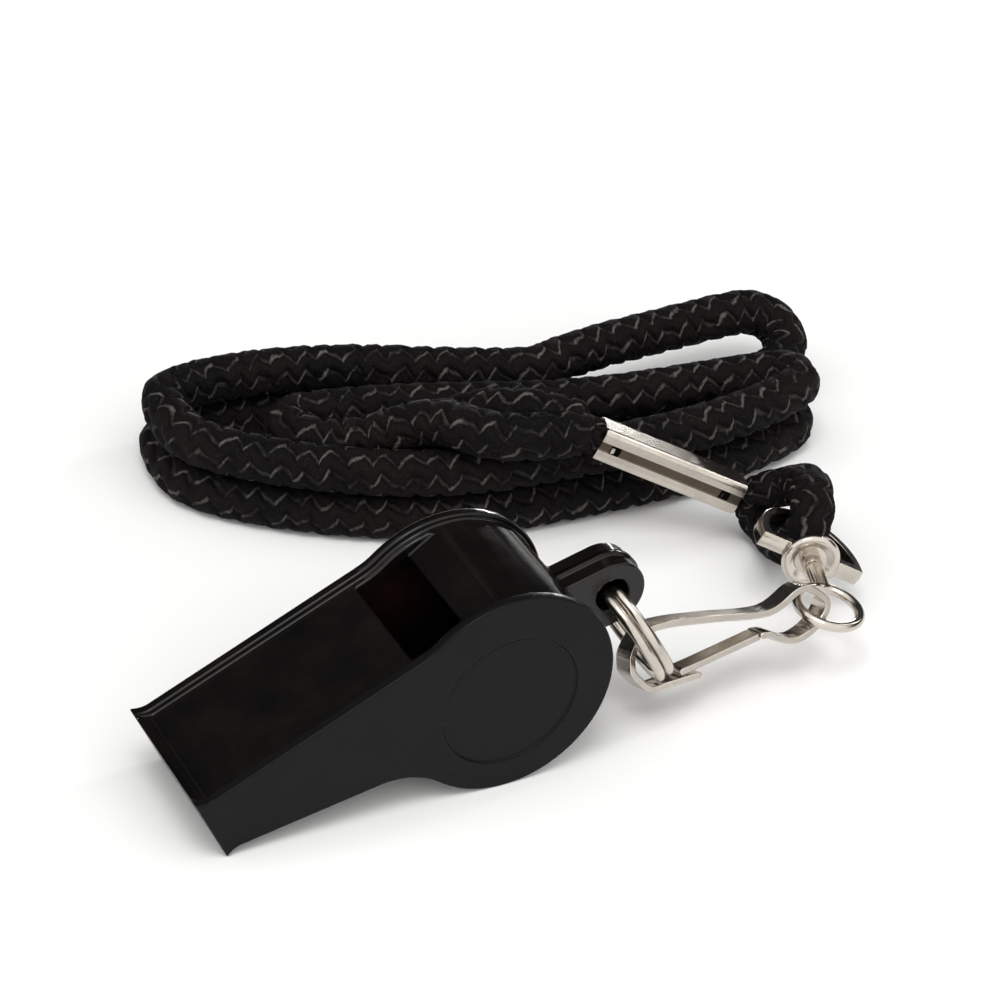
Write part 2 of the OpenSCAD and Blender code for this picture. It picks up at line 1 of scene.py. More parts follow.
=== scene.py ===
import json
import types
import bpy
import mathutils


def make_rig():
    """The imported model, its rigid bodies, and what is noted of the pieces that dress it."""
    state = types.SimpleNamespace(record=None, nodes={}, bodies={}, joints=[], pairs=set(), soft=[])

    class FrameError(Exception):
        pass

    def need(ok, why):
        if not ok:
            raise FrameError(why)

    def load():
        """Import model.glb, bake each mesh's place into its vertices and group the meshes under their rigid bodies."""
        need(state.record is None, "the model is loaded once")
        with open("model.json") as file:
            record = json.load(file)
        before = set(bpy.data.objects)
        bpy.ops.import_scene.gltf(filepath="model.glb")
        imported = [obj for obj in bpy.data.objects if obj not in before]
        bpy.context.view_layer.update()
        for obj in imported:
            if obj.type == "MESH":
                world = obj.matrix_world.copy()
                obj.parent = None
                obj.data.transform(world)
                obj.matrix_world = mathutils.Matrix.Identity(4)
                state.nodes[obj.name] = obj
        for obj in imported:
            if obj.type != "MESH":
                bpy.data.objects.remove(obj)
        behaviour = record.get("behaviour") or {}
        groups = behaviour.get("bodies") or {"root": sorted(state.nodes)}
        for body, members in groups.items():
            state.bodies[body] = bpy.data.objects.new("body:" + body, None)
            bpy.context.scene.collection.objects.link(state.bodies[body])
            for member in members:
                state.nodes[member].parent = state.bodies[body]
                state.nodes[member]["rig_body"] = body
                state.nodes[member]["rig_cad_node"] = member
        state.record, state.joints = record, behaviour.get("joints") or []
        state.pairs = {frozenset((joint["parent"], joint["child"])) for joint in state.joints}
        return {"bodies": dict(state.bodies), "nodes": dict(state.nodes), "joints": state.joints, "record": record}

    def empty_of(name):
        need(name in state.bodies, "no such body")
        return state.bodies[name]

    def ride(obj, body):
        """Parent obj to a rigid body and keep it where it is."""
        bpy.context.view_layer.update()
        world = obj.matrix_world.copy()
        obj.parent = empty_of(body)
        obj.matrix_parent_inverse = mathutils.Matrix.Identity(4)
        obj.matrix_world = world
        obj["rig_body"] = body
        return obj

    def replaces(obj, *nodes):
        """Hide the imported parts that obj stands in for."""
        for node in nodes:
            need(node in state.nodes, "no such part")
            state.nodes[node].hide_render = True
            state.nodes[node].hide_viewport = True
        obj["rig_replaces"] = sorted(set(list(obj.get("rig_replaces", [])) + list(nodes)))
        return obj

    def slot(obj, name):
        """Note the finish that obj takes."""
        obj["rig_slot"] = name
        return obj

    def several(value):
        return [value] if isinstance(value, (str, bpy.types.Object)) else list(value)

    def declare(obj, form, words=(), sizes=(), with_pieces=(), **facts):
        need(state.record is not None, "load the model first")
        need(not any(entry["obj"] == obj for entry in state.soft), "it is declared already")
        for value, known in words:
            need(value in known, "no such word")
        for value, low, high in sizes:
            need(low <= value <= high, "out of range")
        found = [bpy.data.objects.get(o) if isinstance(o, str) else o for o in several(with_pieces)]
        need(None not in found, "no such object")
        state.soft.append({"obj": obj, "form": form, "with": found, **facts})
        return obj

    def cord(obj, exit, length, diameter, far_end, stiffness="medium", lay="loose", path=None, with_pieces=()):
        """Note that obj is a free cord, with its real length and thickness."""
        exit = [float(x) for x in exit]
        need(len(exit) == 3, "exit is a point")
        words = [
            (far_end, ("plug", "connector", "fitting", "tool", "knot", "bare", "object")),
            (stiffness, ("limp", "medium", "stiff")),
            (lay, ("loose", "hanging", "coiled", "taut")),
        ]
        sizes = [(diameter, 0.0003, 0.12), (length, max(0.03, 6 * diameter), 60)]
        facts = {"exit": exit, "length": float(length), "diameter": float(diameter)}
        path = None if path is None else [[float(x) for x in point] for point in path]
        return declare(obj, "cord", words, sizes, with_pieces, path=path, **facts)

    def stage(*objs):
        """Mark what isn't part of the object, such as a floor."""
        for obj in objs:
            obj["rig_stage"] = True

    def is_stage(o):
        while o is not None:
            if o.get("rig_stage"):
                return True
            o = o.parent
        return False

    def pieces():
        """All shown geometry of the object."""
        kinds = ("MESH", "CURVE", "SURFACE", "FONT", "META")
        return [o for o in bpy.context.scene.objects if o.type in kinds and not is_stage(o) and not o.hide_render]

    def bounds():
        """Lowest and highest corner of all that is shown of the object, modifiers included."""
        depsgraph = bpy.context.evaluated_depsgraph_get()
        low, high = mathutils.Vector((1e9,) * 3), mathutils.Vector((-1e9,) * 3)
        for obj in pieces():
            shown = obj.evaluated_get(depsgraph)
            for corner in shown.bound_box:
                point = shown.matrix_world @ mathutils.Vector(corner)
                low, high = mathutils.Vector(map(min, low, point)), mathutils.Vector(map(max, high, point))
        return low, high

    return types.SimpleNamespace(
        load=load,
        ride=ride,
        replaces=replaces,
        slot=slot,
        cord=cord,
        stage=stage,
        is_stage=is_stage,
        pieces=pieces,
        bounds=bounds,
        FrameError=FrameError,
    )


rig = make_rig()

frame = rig.load()

import json
import math

import bpy
import numpy as np
from mathutils import Matrix, Vector

cad_box = [list(v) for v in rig.bounds()]
MM = 0.001
MIDDLE_X = -6.72061   # the part's middle, where x is counted from the drum's axis


def to_part(points):
    """Points in millimetres, with the drum's axis at x = 0, as points of the part in metres."""
    return (np.asarray(points, float) - [MIDDLE_X, 0, 0]) * MM


# The camera
AZIMUTH, ELEVATION, ROLL = map(math.radians, (30.93, 34.24, 6.0))
PICTURE = 1000        # the photograph's side in pixels
FOCAL = 3601.57       # the lens in the same pixels
SENSOR = 36           # millimetres, as for a usual camera
DISTANCE = 438.05     # from the eye to the point that it looks at
LOOKED_AT = np.array([1.1557, 47.40148, 0])   # on the floor, before the turn by the azimuth
CLIP_NEAR = 0.01      # metres
CLIP_FAR = 20


def set_camera():
    view = np.array([0, math.cos(ELEVATION), -math.sin(ELEVATION)])
    level = np.array([1.0, 0, 0])
    raised = np.cross(level, view)
    right = math.cos(ROLL) * level + math.sin(ROLL) * raised
    up = -math.sin(ROLL) * level + math.cos(ROLL) * raised
    turn = np.array(Matrix.Rotation(-AZIMUTH, 3, "Z"))
    right, up, view, target = (turn @ v for v in (right, up, view, LOOKED_AT))
    eye = to_part(target - view * DISTANCE)
    data = bpy.data.cameras.new("camera")
    data.sensor_width = SENSOR
    data.lens = FOCAL / PICTURE * SENSOR
    data.clip_start = CLIP_NEAR
    data.clip_end = CLIP_FAR
    camera = bpy.data.objects.new("camera", data)
    bpy.context.scene.collection.objects.link(camera)
    rows = [[right[i], up[i], -view[i], eye[i]] for i in range(3)]
    camera.matrix_world = Matrix(rows + [[0, 0, 0, 1]])
    bpy.context.scene.camera = camera


set_camera()


# Small helpers
def unit(v):
    return np.asarray(v, float) / np.linalg.norm(v)


def ease(v):
    """From 0 to 1 with a soft start and end."""
    c = min(1, max(0, v))
    return c * c * (3 - 2 * c)


def during(tau, stretch):
    """From 0 to 1 over a stretch, given as its start and its length."""
    start, length = stretch
    return ease((tau - start) / length)


def mix(a, b, k):
    return a + (b - a) * k


def sin_d(a):
    return math.sin(math.radians(a))


def cos_d(a):
    return math.cos(math.radians(a))


# The cord and the sleeve that holds its ends, in millimetres, placed as in the part's source
CORD_D = 5.2
SLEEVE_AT = np.array([31.6, 29.8, 14.2])
SLEEVE_L = 19.6
SLEEVE_W = 6.2
SLEEVE_T = 0.5
PITCH = 24
YAW = -21
WAY = np.array([cos_d(PITCH) * cos_d(YAW), cos_d(PITCH) * sin_d(YAW), -sin_d(PITCH)])
SLEEVE_ACROSS = np.array([-sin_d(YAW), cos_d(YAW), 0])
SLEEVE_UP = np.cross(WAY, SLEEVE_ACROSS)
SLEEVE_END = SLEEVE_AT + WAY * SLEEVE_L
STRAND_T = (SLEEVE_W - 2 * SLEEVE_T) / 2   # a strand's width inside the sleeve

# The sleeve in the photograph is slimmer than the solid one, on the same axis
SLIM_W = 4.2
SLIM_T = 0.4
SLIM_ROUND = 0.75
SLIM_ROLL = -5
ROOT_T = SLIM_W / 2 - SLIM_T   # a strand's width inside this one

# The hank: a doubled cord, wound up from the sleeve and closed by a bend at its far end
HANK_LOOPS = 1.74
LOOP_RINGS = 24             # points of the route in a loop
HANK_LEFT = -10.6
HANK_LEFT_IN = 12.3         # how much further right the inner loop turns
HANK_RIGHT = 66.5
HANK_WAIST = 34             # left of it the loops widen
HANK_SOFT = 12              # how softly that sets in
HANK_Z = 5.7                # from the floor to the middle of the pair
HANK_STEP = 6.1             # from one strand of the pair to the other
HANK_BACK = 49.5, 69        # the far side's y at the right and at the left
HANK_FRONT = 34.4, 46.2     # the near side's y at the right and at the left
HANK_BACK_BOW = 3
HANK_FRONT_BOW = 3.8
HANK_FRONT_BOW_RIGHT = 1
HANK_DRAWN = 7.4, 10.2      # how far inside the far side the first loop lies, at the right and left
HANK_DRAWN_RATE = 1.5
HANK_NEAR_IN = 6.4          # how far inside the near side the first loop lies
HANK_SQUARE = 0.56          # 1 makes the loops round, less makes them square
HANK_LEAD = 3.2             # from the sleeve back to the pair's start
HANK_DIP = 0.4              # how much the pair sinks as it leaves the sleeve
HANK_SPREAD = 2.8           # how much wider the pair is at the far end
HANK_LEAN_END = 58          # how far the pair leans over there, in degrees
HANK_SAG = 1.3              # how far the last stretch bends to the near side
HANK_STRAIGHT_RATE = 2.5
HANK_BEND = 0.6             # the closing bend's reach as a share of the pair's width
BEND_STEP = 30              # from point to point of it, in degrees
HANK_END = np.array([67, 52.4, 6.4])
EXIT_L = 3                  # from the sleeve to the second point of each strand
NUDGE = 0.004               # a small step along the hank, in loops, to read its way from
END_NUDGE = 0.02

# Where things change along the hank, counted in loops: a start and a length, or a single place
WIDENING = 0.5, 0.5         # the inner loop widens to the outer one
JOINING = 0, 0.1            # the pair goes over from the sleeve to the loop
LANDING = 0.045, 0.11       # and comes down to the floor
DIPPING = 0, 0.04
PARTING = 0, 0.028          # the strands, held close by the sleeve, move apart
STACKING = 0.05, 0.09       # the strands, side by side at first, come to lie one over the other
LEANING = 1.52, 0.16        # and lean over again at the far end
OPENING = 1.56, 0.14        # where they also move further apart
SET_OUT = 0.02              # up to here the way turns from the sleeve's axis
FIRST_TURN = 0.3            # up to here across is read on the way's right, then on its left
SECOND_TURN = 1.25          # and from here on always to the far side
LAST_STRETCH = 1.5          # from here on the pair is drawn out to its end


def hank_middle(tau):
    """The middle of the pair of strands, tau loops from the sleeve, as it lies wound up."""
    angle = 270 - 360 * tau
    inner = 1 - during(tau, WIDENING)
    left = HANK_LEFT + HANK_LEFT_IN * inner
    x = (left + HANK_RIGHT) / 2 + (HANK_RIGHT - left) / 2 * cos_d(angle)
    k = (HANK_WAIST - x + math.hypot(HANK_WAIST - x, HANK_SOFT)) / 2 / (HANK_WAIST - HANK_LEFT)
    at_left = min(1, k)
    at_right = max(0, (x - HANK_WAIST) / (HANK_RIGHT - HANK_WAIST))
    back = mix(*HANK_BACK, at_left) + HANK_BACK_BOW * sin_d(180 * at_left)
    front = mix(*HANK_FRONT, at_left) - HANK_FRONT_BOW * sin_d(180 * at_left)
    near = front - HANK_FRONT_BOW_RIGHT * sin_d(180 * at_right) + HANK_NEAR_IN * inner
    drawn = mix(*HANK_DRAWN, ease(k * HANK_DRAWN_RATE))
    far = back - drawn if tau < 1 else back
    turn = sin_d(angle)
    y = (near + far) / 2 + (far - near) / 2 * math.copysign(abs(turn) ** HANK_SQUARE, turn)
    return np.array([x, y, HANK_Z])


def hank_centre(tau):
    """The same, with its start led up to the sleeve and its last stretch drawn out to the far end."""
    wound = hank_middle(tau)
    start = SLEEVE_AT - WAY * HANK_LEAD
    joined = 1 - during(tau, JOINING)
    raised = 1 - during(tau, LANDING)
    x = wound[0] + (start[0] - hank_middle(0)[0]) * joined
    y = mix(wound[1], start[1], joined)
    z = mix(wound[2], start[2] - HANK_DIP * during(tau, DIPPING), raised)
    point = np.array([x, y, z])
    if tau <= LAST_STRETCH:
        return point
    k = (tau - LAST_STRETCH) / (HANK_LOOPS - LAST_STRETCH)
    turned = hank_middle(LAST_STRETCH)
    line = turned + (HANK_END - turned) * k + [0, -HANK_SAG * sin_d(180 * k), 0]
    return mix(point, line, ease(k * HANK_STRAIGHT_RATE))


def hank_way(tau):
    """The way that the pair runs. It starts along the sleeve's axis."""
    way = unit(hank_centre(tau + NUDGE) - hank_centre(max(tau - NUDGE, 0)))
    return unit(mix(-WAY, way, ease(tau / SET_OUT))) if tau < SET_OUT else way


def hank_across(tau):
    """From one strand of the pair to the other."""
    way = hank_way(tau)
    if tau < FIRST_TURN:
        side = -way
    elif tau > SECOND_TURN:
        side = way * np.sign(way[0])
    else:
        side = way
    flat = unit(np.cross([0, 0, 1], side))
    up = np.cross(way, flat)
    up = up * np.sign(up[2])
    lean = HANK_LEAN_END * during(tau, LEANING) - 90 * (1 - during(tau, STACKING))
    apart = mix(STRAND_T, HANK_STEP, during(tau, PARTING)) + HANK_SPREAD * during(tau, OPENING)
    return (flat * sin_d(lean) + up * cos_d(lean)) * apart


def hank_route():
    """The route out along one strand, round the bend and back, and the direction across its ends."""
    count = round(HANK_LOOPS * LOOP_RINGS)
    taus = [HANK_LOOPS * i / count for i in range(count + 1)]
    lower = [hank_centre(t) - hank_across(t) / 2 for t in taus]
    upper = [hank_centre(t) + hank_across(t) / 2 for t in reversed(taus)]
    across = hank_across(HANK_LOOPS)
    end = hank_centre(HANK_LOOPS)
    way = unit(end - hank_centre(HANK_LOOPS - END_NUDGE))
    reach = HANK_BEND * np.linalg.norm(across)
    angles = range(BEND_STEP, 180, BEND_STEP)
    bend = [end + way * (reach * sin_d(a)) - across / 2 * cos_d(a) for a in angles]
    flat = unit(np.cross([0, 0, 1], WAY))
    flat = flat * np.sign(flat @ hank_across(0))
    start = SLEEVE_AT - flat * ROOT_T / 2
    stop = SLEEVE_AT + flat * ROOT_T / 2
    apart = flat * (STRAND_T - ROOT_T) / 4
    out = WAY * EXIT_L
    return [start, start - apart - out, *lower, *bend, *upper, stop + apart - out, stop], flat


# The bight: the short loop that holds the D-ring, out from the sleeve above and back below
BIGHT_UPPER = [[53.7, 20.5, 8], [53.7, 17.2, 10.3], [52, 13.4, 11], [50.8, 11.3, 9.9]]
BIGHT_TURN = [49.5, 10.83, 7.9]
BIGHT_LOWER = [[48.9, 12.1, 5.8], [49.1, 14.4, 4.9], [50.5, 17.6, 2.9], [51.4, 20.5, 2.08]]
BIGHT_SIDE = np.array([0.41, -0.15, 0.9])   # from the lower strand to the upper, before it is squared
BIGHT_OUT = 1.6                             # from the sleeve to the second point of each strand


def bight_route():
    """The bight's route, and the direction across its ends, square to the sleeve's axis."""
    side = unit(BIGHT_SIDE - WAY * (BIGHT_SIDE @ WAY))
    start = SLEEVE_END + side * ROOT_T / 2
    stop = SLEEVE_END - side * ROOT_T / 2
    out = WAY * BIGHT_OUT
    return [start, start + out, *BIGHT_UPPER, BIGHT_TURN, *BIGHT_LOWER, stop + out, stop], side


# Lines and meshes
CURVE_CUTS = 24       # fine pieces between two points of a route
CURVE_PASSES = 6      # rounds of smoothing


def smooth_line(points, step):
    """A smooth curve through the points in even steps, and each step's run and place among the points."""
    p = np.asarray(points, float)
    n = len(p)
    k = np.linspace(0, 1, CURVE_CUTS, endpoint=False)[:, None]
    rows = []
    tags = []
    for i in range(n - 1):
        a, b, c, d = p[max(i - 1, 0)], p[i], p[i + 1], p[min(i + 2, n - 1)]
        rows.append((b * 2 + (c - a) * k + (a * 2 - b * 5 + c * 4 - d) * k**2
                     + (b * 3 - a - c * 3 + d) * k**3) / 2)
        tags.append(i + k[:, 0])
    rows = np.vstack(rows + [p[-1:]])
    tags = np.concatenate(tags + [[n - 1]])
    run = np.concatenate([[0], np.cumsum(np.linalg.norm(np.diff(rows, axis=0), axis=1))])
    even = np.linspace(0, run[-1], max(2, round(run[-1] / step)) + 1)
    line = np.stack([np.interp(even, run, rows[:, i]) for i in range(3)], 1)
    for _ in range(CURVE_PASSES):
        line[1:-1] = (line[:-2] + 2 * line[1:-1] + line[2:]) / 4
    return line, even, np.interp(even, run, tags)


def carried_frames(line, side0, side1):
    """The way of the line and a direction across it at each point, turned evenly from side0 to side1."""
    ways = np.gradient(line, axis=0)
    ways /= np.linalg.norm(ways, axis=1)[:, None]
    side = unit(np.asarray(side0) - ways[0] * (side0 @ ways[0]))
    sides = []
    for way in ways:
        side = unit(side - way * (side @ way))
        sides.append(side)
    sides = np.array(sides)
    goal = unit(side1 - ways[-1] * (side1 @ ways[-1]))
    swing = math.atan2(np.cross(sides[-1], goal) @ ways[-1], sides[-1] @ goal)
    turn = (np.linspace(0, 1, len(line)) * swing)[:, None]
    return ways, sides * np.cos(turn) + np.cross(ways, sides) * np.sin(turn)


def mesh_piece(name, points, faces, material, smooth=True):
    mesh = bpy.data.meshes.new(name)
    mesh.from_pydata([tuple(p) for p in points], [], [tuple(f) for f in faces])
    mesh.materials.append(material)
    if smooth:
        mesh.shade_smooth()
    piece = bpy.data.objects.new(name, mesh)
    bpy.context.scene.collection.objects.link(piece)
    return piece


def hoop_faces(rings, around, flip=False):
    """Faces of a hoop made of rings with so many points each, closed both ways."""
    faces = []
    for i in range(rings):
        here = i * around
        there = (i + 1) % rings * around
        for j in range(around):
            k = (j + 1) % around
            face = [here + j, there + j, there + k, here + k]
            faces.append(face[:1] + face[:0:-1] if flip else face)
    return faces


def bevel_edges(piece, width, angle, segments=3, harden=True):
    """Rounds the edges that are sharper than the angle, over width millimetres."""
    bevel = piece.modifiers.new("bevel", "BEVEL")
    bevel.width = width * MM
    bevel.segments = segments
    bevel.limit_method = "ANGLE"
    bevel.angle_limit = math.radians(angle)
    bevel.harden_normals = harden
    return bevel


# The braid's stitches stand in rows along the cord: puffed pads between zigzag threads
STITCH = 3.0          # from peak to peak of a thread, along the cord
ROWS = 6              # threads round the cord
ZIGZAG = 0.55         # how far a thread swings, as a share of a row's width
SLANT = 0.8           # the way across a slanting thread, as a share of the way round the cord
PAD_HIGH = 0.85       # how far the pads stand over the creases beside the threads
PAD_SOFT = 1.25       # how far from a thread a pad has its full height
STROKE_LIFT = 0.34    # how much higher a strand is where it passes over
STROKE_WIDE = 0.7
THREAD_HIGH = 0.3
THREAD_WIDE = 0.3
THREAD_UNDER = 0.4    # the share of its height that a thread keeps where it dives under
ROW_WIDE = math.pi * CORD_D / ROWS
CORD_STEP = 0.32      # from ring to ring of the cord's mesh
CORD_AROUND = 50
FLOOR_GAP = 0.01      # no point of the cord is lower than this

# Waves that pull the braid out of order: height, rate along the cord, number round it, start
WAVES_ALONG = (0.32, 0.83, 1, 0), (0.2, 2.1, -2, 0)
WAVES_ROUND = (0.011, 1.13, 0, 1), (0.006, 2.9, 1, 0)


def waves(u, v, parts):
    return sum(height * np.sin(rate * u + number * 2 * math.pi * v + start)
               for height, rate, number, start in parts)


def uneven(u, v):
    """A place in the braid, u along the cord and v round it, pulled a little out of order."""
    return u + waves(u, v, WAVES_ALONG), v + waves(u, v, WAVES_ROUND)


def thread_distance(u, v):
    """The distance from the nearest zigzag thread, and whether the thread passes over there."""
    step = (u / STITCH) % 1
    swing = np.abs(step - 0.5) * 2 - 0.5
    off = np.abs((v * ROWS - ZIGZAG * swing + 0.5) % 1 - 0.5)
    return off * ROW_WIDE * SLANT, step < 0.5


def braid_height(u, v):
    distance, over = thread_distance(u, v)
    pad = PAD_HIGH * (1 - (1 - np.clip(distance / PAD_SOFT, 0, 1)) ** 2)
    lift = STROKE_LIFT * over * np.exp(-(distance / STROKE_WIDE) ** 2)
    thread = THREAD_HIGH * mix(THREAD_UNDER, 1, over) * np.exp(-(distance / THREAD_WIDE) ** 2)
    return pad + lift + thread


def store_stitches(piece, run, ring, place):
    """Each face's corners keep their places along and round the braid, for the yarn's material."""
    rings = np.stack([ring, ring, ring + 1, ring + 1], -1)
    places = np.stack([place, place + 1, place + 1, place], -1)
    stitches = uneven(run[rings], places / CORD_AROUND)
    for key, values in zip(("run", "turn"), stitches):
        stored = np.zeros(len(piece.data.loops), np.float32)
        stored[:values.size] = values.ravel()
        piece.data.attributes.new(key, "FLOAT", "CORNER").data.foreach_set("value", stored)


def braided_cord(name, route, sides, halves, proud):
    """A braided cord along the route: the piece, its path and its length."""
    line, run, tags = smooth_line(route, CORD_STEP)
    ways, across = carried_frames(line, *sides)
    up = np.cross(ways, across)
    half = np.array([halves(tag, len(route)) for tag in tags])
    turn = np.arange(CORD_AROUND) / CORD_AROUND
    rise = braid_height(*uneven(run[:, None], turn[None, :])) - PAD_HIGH + proud
    sideways = (half[:, :1] + rise) * np.cos(turn * 2 * math.pi)
    upward = (half[:, 1:] + rise) * np.sin(turn * 2 * math.pi)
    points = line[:, None] + across[:, None] * sideways[..., None] + up[:, None] * upward[..., None]
    points = to_part(points.reshape(-1, 3))
    points[:, 2] = np.maximum(points[:, 2], FLOOR_GAP * MM)

    last = len(line) - 1
    ring, place = np.meshgrid(np.arange(last), np.arange(CORD_AROUND), indexing="ij")
    corner = ring * CORD_AROUND + place
    beside = ring * CORD_AROUND + (place + 1) % CORD_AROUND
    faces = np.stack([corner, beside, beside + CORD_AROUND, corner + CORD_AROUND], -1)
    faces = faces.reshape(-1, 4).tolist()
    faces.append(list(reversed(range(CORD_AROUND))))
    faces.append([last * CORD_AROUND + k for k in range(CORD_AROUND)])
    piece = mesh_piece(name, points, faces, BRAID)
    store_stitches(piece, run, ring, place)
    return piece, to_part(line), run[-1] * MM


# Materials
class Nodes:
    """A material's node tree, with short calls to add to it."""

    def __init__(self, name):
        self.material = bpy.data.materials.new(name)
        self.material.use_nodes = True
        self.tree = self.material.node_tree
        self.shader = self.tree.nodes["Principled BSDF"]

    def add(self, kind, inputs=None, **settings):
        node = self.tree.nodes.new("ShaderNode" + kind)
        for key, value in settings.items():
            setattr(node, key, value)
        for key, value in (inputs or {}).items():
            self.put(node.inputs[key], value)
        return node

    def put(self, socket, value):
        if isinstance(value, bpy.types.NodeSocket):
            self.tree.links.new(value, socket)
        else:
            socket.default_value = value

    def set(self, **values):
        for key, value in values.items():
            self.put(self.shader.inputs[key.replace("_", " ")], value)

    def place(self, stretch=(1, 1, 1)):
        where = self.add("TexCoord").outputs["Object"]
        return self.add("Mapping", {"Vector": where, "Scale": stretch}).outputs["Vector"]

    def attribute(self, name):
        return self.add("Attribute", attribute_name=name).outputs["Fac"]

    def noise(self, vector, scale, detail, rough):
        node = self.add("TexNoise", {"Vector": vector, "Scale": scale, "Detail": detail, "Roughness": rough})
        return node.outputs["Fac"]

    def spread(self, value, low, high, start=0.0, stop=1.0):
        """The value's range from low to high, spread out from start to stop."""
        return self.add("MapRange", {"Value": value, "From Min": low, "From Max": high,
                                     "To Min": start, "To Max": stop}).outputs["Result"]

    def blend(self, factor, a, b):
        node = self.add("Mix", data_type="RGBA")
        self.put(node.inputs[0], factor)
        self.put(node.inputs[6], a)
        self.put(node.inputs[7], b)
        return node.outputs[2]

    def math(self, kind, a, b=0.0):
        node = self.add("Math", operation=kind)
        self.put(node.inputs[0], a)
        self.put(node.inputs[1], b)
        return node.outputs[0]

    def plus(self, a, b):
        return self.math("ADD", a, b)

    def minus(self, a, b):
        return self.math("SUBTRACT", a, b)

    def times(self, a, b):
        return self.math("MULTIPLY", a, b)

    def bump(self, height, strength, distance, normal=None):
        """Bumps of so many millimetres, on top of those in normal."""
        node = self.add("Bump", {"Height": height, "Strength": strength, "Distance": distance * MM})
        if normal is not None:
            self.put(node.inputs["Normal"], normal)
        return node.outputs["Normal"]


def plastic(name, colour, warm, rough, mottle, gloss):
    """Moulded plastic with cloudy patches, a fine grain and light scuffs."""
    n = Nodes(name)
    where = n.place()
    patches = n.noise(where, scale=120, detail=4, rough=0.6)
    grain = n.noise(where, scale=1500, detail=3, rough=0.6)
    scuffs = n.noise(n.place(stretch=(60, 900, 500)), scale=3, detail=4, rough=0.7)
    worn = n.spread(patches, low=0.3, high=0.7, start=rough - 0.05, stop=rough + 0.07)
    scuffed = n.spread(scuffs, low=0.5, high=0.75, stop=0.06)
    relief = n.bump(patches, strength=0.25, distance=0.1)
    n.set(Base_Color=n.blend(n.spread(patches, low=0.4, high=0.65, stop=mottle), colour, warm))
    n.set(Roughness=n.plus(worn, scuffed))
    n.set(Normal=n.bump(grain, strength=0.12, distance=0.04, normal=relief))
    n.set(IOR=1.5, Specular_IOR_Level=gloss)
    return n.material


DULL_SHARE = 0.82     # how bright the clouds in the plating are, beside the rest


def nickel(name, tint, rough):
    """Nickel plating, clouded in tone and gloss, with a drawn grain."""
    n = Nodes(name)
    cloud = n.noise(n.place(), scale=260, detail=4, rough=0.6)
    grain = n.noise(n.place(stretch=(1, 6, 1)), scale=1400, detail=4, rough=0.7)
    dull = tuple(c * DULL_SHARE for c in tint[:3]) + (1,)
    clouded = n.spread(cloud, low=0.35, high=0.7, start=rough, stop=rough + 0.12)
    grained = n.spread(grain, low=0.45, high=0.75, stop=0.08)
    relief = n.bump(cloud, strength=0.12, distance=0.03)
    n.set(Base_Color=n.blend(n.spread(cloud, low=0.42, high=0.68), tint, dull), Metallic=1.0)
    n.set(Roughness=n.plus(clouded, grained))
    n.set(Normal=n.bump(grain, strength=0.12, distance=0.02, normal=relief))
    return n.material


# How far the yarn's threads wander and fray, how much shade is painted into the creases, how much sheen is painted
# onto the fuzz, and how much of the painted glint a thread keeps where it dives under
WANDER = 0.3
FRAY = 0.55
CREASE_SHADE = 0.75
FUZZ_SHEEN = 0.16
UNDER_GLINT = 0.32


def braid(name, colour, warm, light, crease_shade_colour):
    """Yarn: soft dark pads and thin threads, both of fine fibre, with painted shade in the creases, painted sheen on
    the fuzz and painted glints on the threads.
    """
    n = Nodes(name)
    where = n.place()
    wander = n.noise(where, scale=700, detail=3, rough=0.6)
    tuft = n.noise(where, scale=330, detail=3, rough=0.65)
    fuzz = n.noise(where, scale=2600, detail=3, rough=0.7)
    shade = n.noise(where, scale=90, detail=3, rough=0.6)

    # The same zigzag as in the mesh, a little less even
    step = n.math("DIVIDE", n.attribute("run"), STITCH)
    over = n.math("LESS_THAN", n.math("FRACT", step), 0.5)
    swing = n.minus(n.times(n.math("PINGPONG", n.plus(step, 0.5), 0.5), 2.0), 0.5)
    row = n.minus(n.times(n.attribute("turn"), float(ROWS)), n.times(swing, ZIGZAG))
    row = n.plus(row, n.times(n.minus(wander, 0.5), WANDER))
    near = n.times(n.math("PINGPONG", row, 0.5), ROW_WIDE * SLANT)
    frayed = n.plus(near, n.times(n.minus(fuzz, 0.5), FRAY))
    thread = n.spread(frayed, low=0.27, high=0.07)
    # Painted shade: the pads darken towards the creases beside the threads.
    crease_shade = n.times(n.spread(near, low=0.75, high=0.35), n.spread(near, low=0.16, high=0.3))

    pads = n.blend(n.spread(shade, low=0.38, high=0.62), colour, warm)
    pads = n.blend(n.times(crease_shade, CREASE_SHADE), pads, crease_shade_colour)
    # Painted sheen: pale specks of fuzz, as where fibre catches the light.
    fuzz_sheen = n.spread(fuzz, low=0.56, high=0.74)
    pads = n.blend(n.times(fuzz_sheen, FUZZ_SHEEN), pads, light)
    # Painted highlight: the threads take the pale colour as glints of light on the strands' edges. They keep less of
    # it where they dive under, as if lit from one side.
    shown = n.times(thread, n.spread(tuft, low=0.4, high=0.6, start=0.1))
    shown = n.times(shown, n.plus(n.times(over, 1 - UNDER_GLINT), UNDER_GLINT))
    relief = n.bump(tuft, strength=0.7, distance=0.4)
    relief = n.bump(fuzz, strength=0.9, distance=0.22, normal=relief)
    n.set(Base_Color=n.blend(shown, pads, light), Specular_IOR_Level=0.1)
    n.set(Roughness=n.spread(fuzz, low=0.3, high=0.7, start=0.6, stop=0.9))
    n.set(Normal=n.bump(thread, strength=0.6, distance=0.2, normal=relief))
    return n.material


def cork(name, colour, dark):
    n = Nodes(name)
    where = n.place()
    cells = n.add("TexVoronoi", {"Vector": where, "Scale": 900.0}).outputs["Distance"]
    cloud = n.noise(where, scale=400, detail=4, rough=0.6)
    n.set(Base_Color=n.blend(n.spread(cloud, low=0.35, high=0.65), colour, dark), Roughness=0.7)
    n.set(Normal=n.bump(cells, strength=0.5, distance=0.2))
    return n.material


